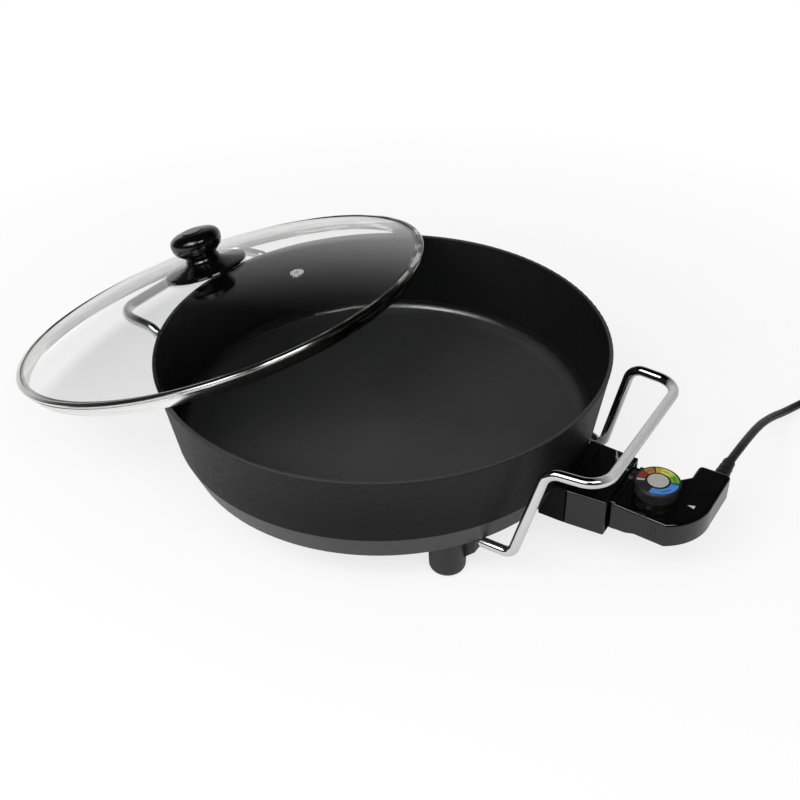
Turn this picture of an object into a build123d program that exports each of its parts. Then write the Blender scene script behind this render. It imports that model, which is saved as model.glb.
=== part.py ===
from build123d import *
import math
import os

# Electric skillet with a loose domed glass lid, two chromed rod handles that run
# down to the feet, and a pull-out thermostat control with its mains cord.
#
# Millimetres. The origin is the centre of the cooking surface. +X points out of the
# socket, along the probe of the control; +Z points up. The pan is round about Z.
# The lid leans on the far-side handle (-X) and on the rim, as it is parked in use.

# ---------------------------------------------------------------- driving sizes

# Pan
rim_radius = 200.0          # outside, at the rim
wall = 3.5
pan_depth = 82.0            # cooking surface to rim
floor_thickness = 8.0
base_inset = 19.0           # rim's outside less the underside's radius
crease_inset = 10.0         # rim's outside less the radius where the machined lower band ends
crease_height = 24.0        # of that band, above the underside
floor_fillet = 14.0
rim_round = 1.2

# Cast-in heater
heater_ring_radius = 105.0
heater_tube = 7.0           # diameter
heater_cover = 2.5          # casting left under the tube
heater_sink = 0.5           # tube axis below the underside
terminal_spread = 28.0      # between the two terminals
terminal_z = 4.0
terminal_pin = 5.0          # diameter
terminal_pin_length = 21.0
boss_reach = 3.0            # terminal boss beyond the underside's edge

# Socket
guard_half_width = 36.0
guard_end_half_width = 33.5
guard_height = 35.0
guard_bottom_z = -16.5
guard_wall = 2.5
guard_round = 1.5
guard_length = 34.0
tail_run = 14.0             # terminal boss to guard, where the heater's tails rise
bracket_inset = 6.0         # underside's edge to the bracket's inner end
bracket_screw_inset = 17.0  # underside's edge to the bracket's screws
bracket_screw_y = 7.0
bracket_screw = 3.0         # diameter
plate_thickness = 4.0
earth_strip = 0.8
earth_strip_width = 8.0
earth_strip_length = 7.0

# Feet and table
foot_height = 38.0          # table to the pan's underside
foot_radius = 16.2
foot_inset = 18.9           # underside's edge to a foot's axis
foot_angle = 39.0           # degrees from the probe's axis
foot_edge = 5.0
foot_nose_reach = 25.0
foot_nose_width = 15.0
foot_screw = 5.0            # diameter
foot_screw_head = 9.0       # diameter

# Handles
rod = 8.6                   # diameter
grip_reach = 44.3           # grip beyond the rim
grip_half_width = 77.6
shoulder_reach = 17.8       # top of the riser, beyond the rim beside it
shoulder_half_width = 82.0
knee_reach = 18.7           # bottom of the riser, beyond the underside beside it
knee_half_width = 73.0      # at one end of each rod
wide_knee_reach = 25.4      # the same two at the other end
wide_knee_half_width = 93.9
left_tuck = 7.0             # left handle's risers closer to the pan
grip_below_rim = 10.9
grip_bend = 20.9            # centreline bend radii
shoulder_bend = 13.0
knee_bend = 9.0

# Lid
lid_overhang = 2.0          # rolled band beyond the rim
glass_thickness = 4.0
glass_rise = 31.4           # dome above the band plane
glass_seat_inset = 8.0      # band's outside to where the dome's outside crosses its plane
glass_edge_inset = 3.0      # glass edge inside the band's outside
band_lip = 4.4              # width of the band over the glass
band_seat = 9.0             # width of the band under the glass
skirt_depth = 15.5
skirt_thickness = 1.0
skirt_clearance = 1.0       # skirt to the pan's inside when the lid is on
skirt_taper = 1.0
vent_offset = 109.0
vent_hole = 6.0             # diameter of the hole in the glass
knob_offset = 3.4           # knob off the dome's middle, away from the vent
knob_radius = 24.0
knob_height = 36.8
knob_neck_radius = 15.0
knob_base_radius = 39.5
knob_base_height = 8.0
knob_screw = 5.0            # diameter

# Lid parked on the rim and the handle
lean_angle = 16.92
side_roll = 0.69
lean_inset = 16.3           # rim's outside to the parked lid's middle, on the far side
lean_y = -6.1

# Control
control_bottom_z = -5.5
control_top_z = 17.0
control_gap = 4.5           # guard to control
control_length = 68.8       # from there to the outer side of the cord leg
control_corner = 45.0       # from there to the corner of the front
control_front_y = -32.5
control_back_y = 27.0
cord_leg_width = 27.0
cord_leg_end_y = 53.0
cord_leg_round = 4.0
throat = 8.0                # slope between the back and the cord leg
control_round = 2.6         # top edge
control_shell = 2.2
belly = 2.4                 # bottom cover deeper beside the guard
belly_length = 24.0
cover_thickness = 3.0
cover_screw = 2.4           # diameter
cover_screw_head = 5.2      # diameter
nose_inset = 14.0           # guard's inner end to the nose
nose_clearance = 0.8
nose_half_width = 26.0
dial_inset = 28.6           # guard's end to the dial's axis
dial_radius = 18.4          # smooth disc on top
dial_height = 11.7
dial_disc_thickness = 3.0
dial_grip_radius = 16.7     # knurl under the disc
dial_ridges = 46
dial_flange = 0.5           # foot of the knurl, proud of it
dial_scale_radius = 17.0
dial_cap_radius = 9.5
plinth_radius = 20.8        # raised round under the dial
plinth_height = 0.6
plinth_top_radius = 19.3
plinth_top_height = 1.1
spindle = 6.0               # diameter
probe = 6.0                 # diameter
probe_z = -7.0
probe_inset = 32.0          # terminal boss's end to the probe's tip

# Mains cord
cord = 7.6                  # diameter
cord_inset = 10.5           # control's outer side to the cord's axis
relief_length = 31.0
relief_radius = 6.8         # first rib
relief_end_radius = 5.3     # last rib
relief_neck_radius = 5.4
coil_mean_radius = 43.0
coil_rows = 2
coil_layers = 2
coil_reach = 96.0           # coil's middle beyond the cord's axis
coil_y = 292.0
coil_entry = 138.0          # degrees, where the cord comes in
coil_exit = -25.0           # degrees, where it leaves
coil_tie = 1.2              # strap thickness
plug_radius = 18.5
plug_length = 36.0
plug_boot = 14.0
plug_beside = 76.0          # coil to plug
plug_beyond = 96.0          # coil's middle to the plug's cord end
plug_pin = 4.8              # diameter
plug_pin_spread = 19.0

# Fits
gap = 0.3                   # between parts that only rest or slide
screw_clearance = 0.15      # radial
shaft_clearance = 0.05      # radial
press = 0.05                # radial room round cast-in and pressed parts

# ---------------------------------------------------------------- derived places

rim_z = pan_depth
under_z = -floor_thickness
crease_z = under_z + crease_height
base_radius = rim_radius - base_inset
crease_radius = rim_radius - crease_inset
table_z = under_z - foot_height
rim_inner_radius = rim_radius - wall
heater_z = under_z - heater_sink
boss_bottom_z = heater_z - heater_tube / 2 - heater_cover
boss_end_x = base_radius + boss_reach
terminal_y = terminal_spread / 2
guard_start_x = boss_end_x + tail_run
bracket_start_x = base_radius - bracket_inset
bracket_screw_x = base_radius - bracket_screw_inset
guard_end_x = guard_start_x + guard_length
guard_top_z = guard_bottom_z + guard_height
plate_x = guard_start_x + guard_wall
heater_end_x = plate_x + 0.5 * plate_thickness
rod_radius = rod / 2
rod_z = under_z - rod_radius - gap
grip_z = rim_z - grip_below_rim
foot_x = (base_radius - foot_inset) * math.cos(math.radians(foot_angle))
foot_y = (base_radius - foot_inset) * math.sin(math.radians(foot_angle))
grip_x = rim_radius + grip_reach
shoulder_x = math.sqrt(rim_radius ** 2 - shoulder_half_width ** 2) + shoulder_reach
knee_x = math.sqrt(base_radius ** 2 - knee_half_width ** 2) + knee_reach
wide_knee_x = math.sqrt(base_radius ** 2 - wide_knee_half_width ** 2) + wide_knee_reach
lid_radius = rim_radius + lid_overhang
glass_seat_radius = lid_radius - glass_seat_inset
lean_x = lean_inset - rim_radius
nose_start_x = guard_start_x + nose_inset
control_start_x = guard_end_x + control_gap
control_outer_x = control_start_x + control_length
dial_x = guard_end_x + dial_inset
cord_x = control_outer_x - cord_inset
probe_tip_x = boss_end_x - probe_inset
dial_z = control_top_z + plinth_top_height + gap
cord_z = (control_bottom_z + control_top_z) / 2
split_z = control_bottom_z + cover_thickness
table_cord_z = table_z + cord / 2
coil_radius = coil_mean_radius + coil_rows * cord / 2
relief_end_y = cord_leg_end_y + relief_length
coil_x = cord_x + coil_reach
plug_x = coil_x + plug_beyond
plug_y = coil_y - coil_radius - plug_beside
plug_z = table_z + plug_radius + 0.2
parts = {}


# ---------------------------------------------------------------- small helpers

def drum(radius, z_low, z_high, x=0.0, y=0.0):
    """Upright cylinder between two heights."""
    middle = (z_low + z_high) / 2
    return Pos(x, y, middle) * Cylinder(radius, z_high - z_low)


def bar(radius, x_low, x_high, y=0.0, z=0.0):
    """Cylinder along X between two stations."""
    middle = (x_low + x_high) / 2
    return Pos(middle, y, z) * Rot(0, 90, 0) * Cylinder(radius, x_high - x_low)


def block(x_low, x_high, y_low, y_high, z_low, z_high):
    """Box between two corners."""
    centre = Pos((x_low + x_high) / 2, (y_low + y_high) / 2, (z_low + z_high) / 2)
    return centre * Box(x_high - x_low, y_high - y_low, z_high - z_low)


def turned(points):
    """Solid of revolution about Z from (radius, height) points."""
    face = make_face(Plane.XZ * Polyline(*points, close=True))
    return revolve(face, Axis.Z, 360)


def plan(points, z_low, z_high):
    """Prism over an outline of (x, y) points."""
    face = make_face(Polyline(*points, close=True))
    return Pos(0, 0, z_low) * extrude(face, z_high - z_low)


def tube(points, radii, diameter):
    """Round rod along straight runs joined by tangent arcs."""
    path = FilletPolyline(*points, radius=radii)
    start = Plane(origin=path @ 0, z_dir=path % 0)
    return sweep(start * Circle(diameter / 2), path=path)


def group(solids):
    """Several separate solids as one node."""
    return Compound(children=list(solids))


# ---------------------------------------------------------------- pan and heater

def heater_body(diameter, tail_end_x):
    """Ring element with two cold tails that leave towards the socket."""
    angle = math.asin(terminal_y / heater_ring_radius)
    ring_path = Pos(0, 0, heater_z) * CenterArc(
        (0, 0), heater_ring_radius, math.degrees(angle), 360 - 2 * math.degrees(angle))
    start = Plane(origin=ring_path @ 0, z_dir=ring_path % 0)
    body = sweep(start * Circle(diameter / 2), path=ring_path)
    root_x = heater_ring_radius * math.cos(angle)
    rise_x = boss_end_x + heater_tube / 2
    step_x = guard_start_x - heater_tube / 2
    for side in (-1, 1):
        y = side * terminal_y
        tail = tube(
            [(root_x, y, heater_z), (rise_x, y, heater_z),
             (step_x, y, terminal_z), (tail_end_x, y, terminal_z)],
            [heater_tube / 2 + 1.0] * 2, diameter)
        elbow = Pos(root_x, y, heater_z) * Sphere(diameter / 2)
        body = body + elbow + tail
    return body


def pan_outer_profile(margin):
    """Outside of the pan, grown by a margin, as (radius, height) points."""
    return [(0, under_z - margin), (base_radius + margin, under_z - margin),
            (crease_radius + margin, crease_z), (rim_radius + margin, rim_z)]


def boss_block(margin):
    """Terminal boss under the pan, grown by a margin."""
    half = terminal_y + heater_tube / 2 + heater_cover + margin
    return block(heater_ring_radius, boss_end_x + margin, -half, half, boss_bottom_z - margin, under_z)


def make_pan():
    # The inside wall follows the outside at the wall's thickness.
    wall_slope = (rim_radius - crease_radius) / (rim_z - crease_z)
    inner_floor_radius = rim_inner_radius - wall_slope * pan_depth
    outside = pan_outer_profile(0)
    inside = [(rim_inner_radius, rim_z), (inner_floor_radius, 0), (0, 0)]
    profile = make_face(Plane.XZ * Polyline(*outside, *inside, close=True))
    floor_corner = [v for v in profile.vertices() if abs(v.Z) < 0.01 and v.X > base_radius / 2]
    profile = fillet(floor_corner, floor_fillet)
    rim_corners = [v for v in profile.vertices() if abs(v.Z - rim_z) < 0.01]
    profile = fillet(rim_corners, rim_round)
    pan = revolve(profile, Axis.Z, 360)
    ridge_half = heater_tube / 2 + heater_cover
    ridge = drum(heater_ring_radius + ridge_half, boss_bottom_z, under_z)
    ridge -= drum(heater_ring_radius - ridge_half, boss_bottom_z, under_z)
    pan = pan + ridge + boss_block(0)
    pan -= heater_body(heater_tube + 2 * press, heater_end_x)
    pan -= bar(probe / 2 + gap, probe_tip_x - 6.0, boss_end_x + 1.0, 0, probe_z)
    for x, y in foot_places():
        pan -= drum(foot_screw / 2 + screw_clearance, under_z - 1.0, under_z + 6.0, x, y)
    for side in (-1, 1):
        pan -= drum(bracket_screw / 2 + screw_clearance, boss_bottom_z - 1.0, boss_bottom_z + 9.0,
                    bracket_screw_x, side * bracket_screw_y)
    return pan


def make_terminals():
    pins = []
    for side in (-1, 1):
        pin_end_x = heater_end_x + terminal_pin_length
        pin = bar(terminal_pin / 2, heater_end_x, pin_end_x, side * terminal_y, terminal_z)
        tip = pin.edges().sort_by(Axis.X)[-1]
        pins.append(chamfer(tip, 1.0))
    return group(pins)


# ---------------------------------------------------------------- feet and handles

def foot_places():
    return [(sx * foot_x, sy * foot_y) for sx in (-1, 1) for sy in (-1, 1)]


def knee_place(end, tuck):
    """Plan place of a handle's knee, at its narrow (1) or wide (-1) end."""
    if end > 0:
        return knee_x - tuck, knee_half_width
    return wide_knee_x - tuck, wide_knee_half_width


def rod_offset(end):
    """Distance from a foot's axis to the rod; the wide end runs straight out of its foot."""
    return 0.0 if end > 0 else foot_y - wide_knee_half_width


def rod_direction(end, tuck):
    """Angle in plan of the rod's run from its foot."""
    x, half_width = knee_place(end, tuck)
    return math.degrees(math.atan2(half_width + rod_offset(end) - foot_y, x - foot_x))


def make_foot(x, y):
    """Foot whose nose holds the handle's end against the underside."""
    profile = make_face(Plane.XZ * Polyline(
        (0, table_z), (foot_radius - 1.0, table_z), (foot_radius, under_z), (0, under_z), close=True))
    edge = [v for v in profile.vertices() if v.X > 1 and v.Z < table_z + 0.1]
    body = revolve(fillet(edge, foot_edge), Axis.Z, 360)
    nose_bottom = rod_z - rod_radius - 3.0
    side_view = make_face(Plane.XZ * Polyline(
        (0, under_z), (foot_nose_reach, under_z), (foot_nose_reach, nose_bottom),
        (foot_radius, nose_bottom - 9.0), (0, nose_bottom - 9.0), close=True))
    nose = extrude(side_view, foot_nose_width / 2, both=True)
    end = math.copysign(1, x * y)
    offset = rod_offset(end)
    nose = Pos(0, offset, 0) * nose
    room = bar(rod_radius + press, foot_screw / 2 + 4.0, foot_nose_reach + 1.0, offset, rod_z)
    foot = (body - room) + (nose - room)
    foot -= drum(foot_screw / 2 + screw_clearance, table_z - 1.0, under_z + 1.0)
    foot -= drum(foot_screw_head / 2 + 1.0, table_z - 1.0, table_z + 10.0)
    direction = rod_direction(end, left_tuck if x < 0 else 0.0)
    turn = direction if y > 0 else -direction
    if x < 0:
        turn = 180 - turn
    return Pos(x, y, 0) * Rot(0, 0, turn) * foot


def make_foot_screws():
    screws = []
    for x, y in foot_places():
        shank = drum(foot_screw / 2, table_z + 10.0, under_z + 5.0, x, y)
        head = drum(foot_screw_head / 2, table_z + 6.0, table_z + 10.0, x, y)
        slot = block(x - foot_screw_head, x + foot_screw_head, y - 0.6, y + 0.6, table_z + 5.0, table_z + 7.2)
        screws.append(shank + head - slot)
    return group(screws)


def half_handle(end, tuck):
    """Centreline from a foot to the grip's corner, at the narrow (1) or wide (-1) end."""
    angle = math.radians(rod_direction(end, tuck))
    start = foot_screw / 2 + 4.0
    foot_run_y = foot_y - rod_offset(end) + start * math.sin(angle)
    points = [(foot_x + start * math.cos(angle), end * foot_run_y, rod_z)]
    x, half_width = knee_place(end, tuck)
    points.append((x, end * half_width, rod_z))
    points.append((shoulder_x - tuck, end * shoulder_half_width, grip_z))
    points.append((grip_x, end * grip_half_width, grip_z))
    return points


def make_handle(tuck):
    bends = [knee_bend, shoulder_bend, grip_bend]
    return tube(half_handle(1, tuck) + half_handle(-1, tuck)[::-1], bends + bends[::-1], rod)


# ---------------------------------------------------------------- socket

def guard_outline(start_x, end_x, inset):
    """Plan of the guard between two stations, narrowing outwards."""
    taper = (guard_half_width - guard_end_half_width) / guard_length
    start_half = guard_half_width - taper * (start_x - guard_start_x) - inset
    end_half = guard_half_width - taper * (end_x - guard_start_x) - inset
    return [(start_x, -start_half), (end_x, -end_half), (end_x, end_half), (start_x, start_half)]


def make_bracket():
    """Collar round the terminal boss, screwed to the boss from below."""
    end_x = guard_start_x - gap
    half = guard_half_width
    collar = block(bracket_start_x, end_x, -half, half, guard_bottom_z, guard_top_z)
    collar = fillet(collar.edges().filter_by(Axis.X), guard_round)
    inner = half - guard_wall
    collar -= block(bracket_start_x - 1, end_x + 1, -inner, inner,
                    guard_bottom_z + guard_wall, guard_top_z - guard_wall)
    collar -= turned(pan_outer_profile(gap) + [(0, rim_z)])
    collar -= boss_block(gap)
    half = bracket_screw_y + 6.0
    tongue_bottom_z = boss_bottom_z - guard_wall
    tongue = block(bracket_screw_x - 8.0, boss_end_x + 6.0, -half, half, tongue_bottom_z, boss_bottom_z)
    bracket = collar + tongue
    for side in (-1, 1):
        bracket -= drum(bracket_screw / 2 + screw_clearance, tongue_bottom_z - 1, boss_bottom_z + 1,
                        bracket_screw_x, side * bracket_screw_y)
    return bracket


def make_bracket_screws():
    screws = []
    head_top_z = boss_bottom_z - guard_wall
    for side in (-1, 1):
        y = side * bracket_screw_y
        shank = drum(bracket_screw / 2, head_top_z, boss_bottom_z + 8.0, bracket_screw_x, y)
        head = drum(bracket_screw, head_top_z - 2.0, head_top_z, bracket_screw_x, y)
        screws.append(shank + head)
    return group(screws)


def guard_cavity(start_x, end_x, inset):
    """Space inside the guard's walls, less an inset."""
    return plan(guard_outline(start_x, end_x, guard_wall + inset),
                guard_bottom_z + guard_wall + inset, guard_top_z - guard_wall - inset)


def make_guard():
    """Outer shell of the socket, with a spigot inside the bracket."""
    shell = plan(guard_outline(guard_start_x, guard_end_x, 0), guard_bottom_z, guard_top_z)
    side_edges = shell.edges().filter_by(GeomType.LINE).group_by(Axis.X)[-1].filter_by(Axis.Z)
    shell = fillet(side_edges, guard_round)
    long_edges = [e for e in shell.edges() if abs(e.center().Y) > guard_end_half_width - 1.0
                  and e.length > guard_length / 2]
    shell = fillet(long_edges, guard_round)
    shell -= guard_cavity(guard_start_x - 1, guard_end_x + 1, 0)
    half = guard_half_width - guard_wall - gap
    low = guard_bottom_z + guard_wall + gap
    high = guard_top_z - guard_wall - gap
    spigot = block(guard_start_x - 6.0, plate_x, -half, half, low, high)
    wide = half + gap + 1.0
    spigot += block(guard_start_x, plate_x, -wide, wide, low - gap - 1.0, high + gap + 1.0)
    spigot -= block(guard_start_x - 7.0, plate_x + 1, -half + guard_wall, half - guard_wall,
                    low + guard_wall, high - guard_wall)
    return shell + spigot


def make_terminal_plate():
    """Insulating plate across the guard, through which the pins pass."""
    end_x = plate_x + plate_thickness
    plate = guard_cavity(plate_x, end_x, press)
    for side in (-1, 1):
        plate -= bar(terminal_pin / 2 + press, plate_x - 1, end_x + 1, side * terminal_y, terminal_z)
        plate -= bar(heater_tube / 2 + press, plate_x - 1, heater_end_x + press,
                     side * terminal_y, terminal_z)
    plate -= bar(probe / 2 + 2 * gap, plate_x - 1, end_x + 1, 0, probe_z)
    return plate


def make_earth_contact():
    """Angled spring strip riveted to the terminal plate, along the guard's inner wall."""
    start_x = plate_x + plate_thickness
    wall_y = guard_outline(start_x, guard_end_x, guard_wall)[2][1]
    low = terminal_z - earth_strip_width / 2
    high = terminal_z + earth_strip_width / 2
    along = block(start_x, start_x + earth_strip_length,
                  wall_y - earth_strip - press, wall_y - press, low, high)
    across = block(start_x, start_x + earth_strip, wall_y - 6.0, wall_y - press, low, high)
    return along + across


# ---------------------------------------------------------------- control

def control_outline(inset):
    """Plan of the control: a front leg along +X and a cord leg along +Y."""
    outer = control_outer_x
    leg_inner = outer - cord_leg_width
    start = (control_start_x + inset, control_front_y + 2.5 + inset)
    corner = (control_start_x + control_corner - inset / 2, control_front_y + inset)
    bend_middle = (outer - 7.8 - inset, -17.0 + inset / 2)
    bend_end = (outer - 0.8 - inset, 10.0)
    leg_right = (outer - inset, cord_leg_end_y - inset)
    leg_left = (leg_inner + inset, cord_leg_end_y - inset)
    throat_top = (leg_inner - 0.5 + inset, control_back_y + throat)
    throat_low = (leg_inner - throat + inset, control_back_y - inset)
    back = (control_start_x + inset, control_back_y - inset)
    lines = [Line(start, corner), ThreePointArc(corner, bend_middle, bend_end), Line(bend_end, leg_right),
             Line(leg_right, leg_left), Line(leg_left, throat_top), Line(throat_top, throat_low),
             Line(throat_low, back), Line(back, start)]
    return make_face(Wire(lines))


def control_solid(inset, z_low, z_high):
    """Prism over the control's plan; its outside has a rounded cord leg."""
    body = Pos(0, 0, z_low) * extrude(control_outline(inset), z_high - z_low)
    if inset > 0:
        return body
    leg_edges = [e for e in body.edges().filter_by(Axis.Z) if e.center().Y > cord_leg_end_y - 1.0]
    return fillet(leg_edges, cord_leg_round)


def nose_solid(inset, start_x, end_x):
    """Part of the control that goes into the guard."""
    half = nose_half_width - inset
    low = guard_bottom_z + guard_wall + nose_clearance + inset
    high = guard_top_z - guard_wall - nose_clearance - inset
    return block(start_x, end_x, -half, half, low, high)


def cover_screw_places():
    near_x = control_start_x + 15.5
    return [(near_x, control_front_y + 8.5), (near_x, control_back_y - 8.0), (control_outer_x - 7.5, 20.0)]


def make_upper_housing():
    body = control_solid(0, split_z, control_top_z)
    top_edges = body.edges().group_by(Axis.Z)[-1]
    body = fillet(top_edges, control_round)
    body -= control_solid(control_shell, split_z - 1, control_top_z - control_shell)
    nose = nose_solid(0, nose_start_x, control_start_x + control_shell)
    nose = fillet(nose.edges().filter_by(Axis.X), 2.0)
    nose -= nose_solid(control_shell, nose_start_x + control_shell, control_start_x + control_shell + 1)
    body -= nose_solid(control_shell, nose_start_x + control_shell, control_start_x + control_shell + 1)
    plinth = drum(plinth_radius, control_top_z - 1.0, control_top_z + plinth_height, dial_x)
    plinth += drum(plinth_top_radius, control_top_z - 1.0, control_top_z + plinth_top_height, dial_x)
    housing = body + nose + plinth
    housing -= drum(spindle / 2 + 0.4, control_top_z - 5.0, dial_z, dial_x)
    for side in (-1, 1):
        housing -= bar(terminal_pin / 2 + 0.6, nose_start_x - 1, nose_start_x + control_shell + 1,
                       side * terminal_y, terminal_z)
    housing -= bar(probe / 2 + press, nose_start_x - 1, nose_start_x + control_shell + 1, 0, probe_z)
    relief_hole = Cylinder(relief_neck_radius + press, 12.0)
    housing -= Pos(cord_x, cord_leg_end_y, cord_z) * Rot(90, 0, 0) * relief_hole
    for groove in range(3):
        x = control_start_x + 30.5 + 3.0 * groove
        housing -= block(x, x + 1.2, control_front_y - 2.0, control_front_y + 1.0, cord_z - 5.5, cord_z + 5.5)
    for x, y in cover_screw_places():
        post = drum(3.4, split_z, control_top_z - control_shell, x, y)
        housing += post - drum(cover_screw / 2 + press, split_z - 1, split_z + 10.0, x, y)
    return housing


def make_lower_housing():
    """Bottom cover, with a lip inside the upper housing."""
    cover = control_solid(0, control_bottom_z, split_z)
    cover = chamfer(cover.edges().group_by(Axis.Z)[0], 0.8)
    start = control_start_x
    side_view = make_face(Plane.XZ * Polyline(
        (start, control_bottom_z + 1.0), (start, control_bottom_z - belly),
        (start + belly_length / 2, control_bottom_z - belly), (start + belly_length, control_bottom_z + 1.0),
        close=True))
    cover += Pos(0, control_back_y, 0) * extrude(side_view, control_back_y - control_front_y - 2.5)
    cover -= nose_solid(-0.1, nose_start_x, control_start_x + control_shell + 0.1)
    for x, y in cover_screw_places():
        cover -= drum(cover_screw / 2 + screw_clearance, control_bottom_z - 1, split_z + 1, x, y)
        cover -= drum(cover_screw_head / 2 + screw_clearance, control_bottom_z - belly - 1,
                      control_bottom_z + 1.6, x, y)
    return cover


def make_cover_screws():
    screws = []
    for x, y in cover_screw_places():
        head = drum(cover_screw_head / 2, control_bottom_z + 0.2, control_bottom_z + 1.6, x, y)
        shank = drum(cover_screw / 2, control_bottom_z + 1.6, split_z + 9.0, x, y)
        screws.append(head + shank)
    return group(screws)


def make_probe():
    """Sensor tube with the collar that holds it inside the nose."""
    rod_body = bar(probe / 2, probe_tip_x, nose_start_x + 20.0, 0, probe_z)
    tip = rod_body.edges().sort_by(Axis.X)[0]
    rod_body = fillet(tip, probe / 2 - 0.6)
    collar_start = nose_start_x + control_shell
    room = nose_solid(control_shell + 0.1, collar_start, collar_start + 3.0)
    collar = bar(probe / 2 + 3.0, collar_start, collar_start + 3.0, 0, probe_z) & room
    return rod_body + collar


def make_contacts():
    """Two sleeves that grip the terminal pins."""
    start = nose_start_x + control_shell + 0.2
    sleeves = []
    for side in (-1, 1):
        y = side * terminal_y
        sleeve = bar(terminal_pin / 2 + 1.6, start, start + 16.0, y, terminal_z)
        sleeve -= bar(terminal_pin / 2 + shaft_clearance, start - 1, start + 13.0, y, terminal_z)
        tab = block(start + 16.0, start + 24.0, y - 2.4, y + 2.4, terminal_z - 0.4, terminal_z + 0.4)
        sleeves.append(sleeve + tab)
    return group(sleeves)


def make_contact_carrier():
    """Insulator across the nose that holds sleeves and probe."""
    start = nose_start_x + control_shell + 4.0
    carrier = nose_solid(control_shell + 0.1, start, start + 8.0)
    for side in (-1, 1):
        carrier -= bar(terminal_pin / 2 + 1.6 + press, start - 1, start + 9.0, side * terminal_y, terminal_z)
    carrier -= bar(probe / 2 + press, start - 1, start + 9.0, 0, probe_z)
    return carrier


def make_thermostat():
    """Bimetal switch under the dial: base, spring stack and spindle bush."""
    base = block(dial_x - 16.0, dial_x + 12.0, -11.0, 11.0, split_z, split_z + 5.0)
    stack = block(dial_x - 15.0, dial_x - 8.0, -4.0, 4.0, split_z + 5.0, split_z + 11.0)
    blade = block(dial_x - 15.0, dial_x + 8.0, -3.0, 3.0, split_z + 7.0, split_z + 7.8)
    bush = drum(spindle / 2 + 2.0, split_z + 7.8, control_top_z - control_shell - 0.2, dial_x)
    bush -= drum(spindle / 2 + shaft_clearance, split_z + 8.8, control_top_z, dial_x)
    return base + stack + blade + bush


def make_spindle():
    return drum(spindle / 2, split_z + 8.8 + shaft_clearance, dial_z + dial_height - 3.0, dial_x)


def make_dial():
    """Knurled knob under a smooth disc, open round the spindle."""
    outline = []
    for step in range(2 * dial_ridges):
        radius = dial_grip_radius if step % 2 == 0 else dial_grip_radius - 0.7
        angle = math.pi * step / dial_ridges
        outline.append((radius * math.cos(angle), radius * math.sin(angle)))
    top_z = dial_z + dial_height
    knurl = plan(outline, dial_z, top_z - dial_disc_thickness)
    disc = drum(dial_radius, top_z - dial_disc_thickness, top_z)
    disc = chamfer(disc.edges().filter_by(GeomType.CIRCLE), 0.5)
    flange = drum(dial_grip_radius + dial_flange, dial_z, dial_z + 1.6)
    knob = knurl + disc + flange
    hub = drum(spindle / 2 + 3.0, dial_z - 2, dial_z + 6.0)
    knob -= drum(dial_grip_radius - 3.0, dial_z - 1, dial_z + 5.0) - hub
    knob -= drum(spindle / 2, dial_z - 1, top_z - 3.0)
    knob -= drum(dial_scale_radius + press, top_z - 0.5, top_z + 1)
    return Pos(dial_x, 0, 0) * knob


def make_dial_scale():
    """Printed ring let into the knob's top."""
    top_z = dial_z + dial_height
    ring = drum(dial_scale_radius, top_z - 0.5, top_z - 0.1)
    ring -= drum(dial_cap_radius + press, top_z - 1, top_z + 1)
    return Pos(dial_x, 0, 0) * ring


def make_dial_cap():
    top_z = dial_z + dial_height
    cap = drum(dial_cap_radius, top_z - 0.5, top_z + 0.1)
    cap = fillet(cap.edges().group_by(Axis.Z)[-1], 0.2)
    return Pos(dial_x, 0, 0) * cap


def make_cord_clamp():
    """Bar that holds the cord down inside the cord leg."""
    y = cord_leg_end_y - 17.0
    half = cord_inset - control_shell - gap
    clamp = block(cord_x - half, cord_x + half, y - 3.0, y + 3.0, split_z, cord_z + cord / 2 + 2.0)
    clamp -= Pos(cord_x, y, cord_z) * Rot(90, 0, 0) * Cylinder(cord / 2 + press, 10.0)
    return clamp


def make_strain_relief():
    """Tapered, ribbed sleeve whose neck is trapped in the housing's wall."""
    start = cord_leg_end_y + 0.1
    profile = [(0, -9.0), (relief_neck_radius + 1.6, -9.0), (relief_neck_radius + 1.6, -control_shell - 0.3),
               (relief_neck_radius, -control_shell - 0.3), (relief_neck_radius, 0.0)]
    ribs = 4
    pitch = relief_length / ribs
    for rib in range(ribs):
        radius = relief_radius + (relief_end_radius - relief_radius) * rib / (ribs - 1)
        low = rib * pitch
        profile += [(radius, low), (radius, low + 0.72 * pitch), (radius - 0.8, low + 0.76 * pitch),
                    (radius - 0.8, low + pitch)]
    profile.append((0, relief_length))
    sleeve = turned(profile) - drum(cord / 2 + press, -10.0, relief_length + 1)
    return Pos(cord_x, start, cord_z) * Rot(-90, 0, 0) * sleeve


# ---------------------------------------------------------------- mains cord

def corner_radius(before, corner, after):
    """Radius of the arc at one corner of the cord's route."""
    run_in = (Vector(*corner) - Vector(*before))
    run_out = (Vector(*after) - Vector(*corner))
    turn = math.radians(run_in.get_angle(run_out))
    return 0.45 * min(run_in.length, run_out.length) / math.tan(turn / 2)


def cord_tube(name, route):
    """Cord along a route of chosen points, with arcs as large as its runs allow."""
    radii = [corner_radius(*route[i:i + 3]) for i in range(len(route) - 2)]
    solid = tube(route, radii, cord)
    length = solid.volume / (math.pi * cord * cord / 4)
    print(name, "length", round(length), "radii", [round(r) for r in radii])
    return solid


def make_cord_entry():
    """Straight end of the cord, inside the control and its strain relief."""
    length = relief_length + 24.0
    return Pos(cord_x, relief_end_y - length / 2, cord_z) * Rot(90, 0, 0) * Cylinder(cord / 2, length)


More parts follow.
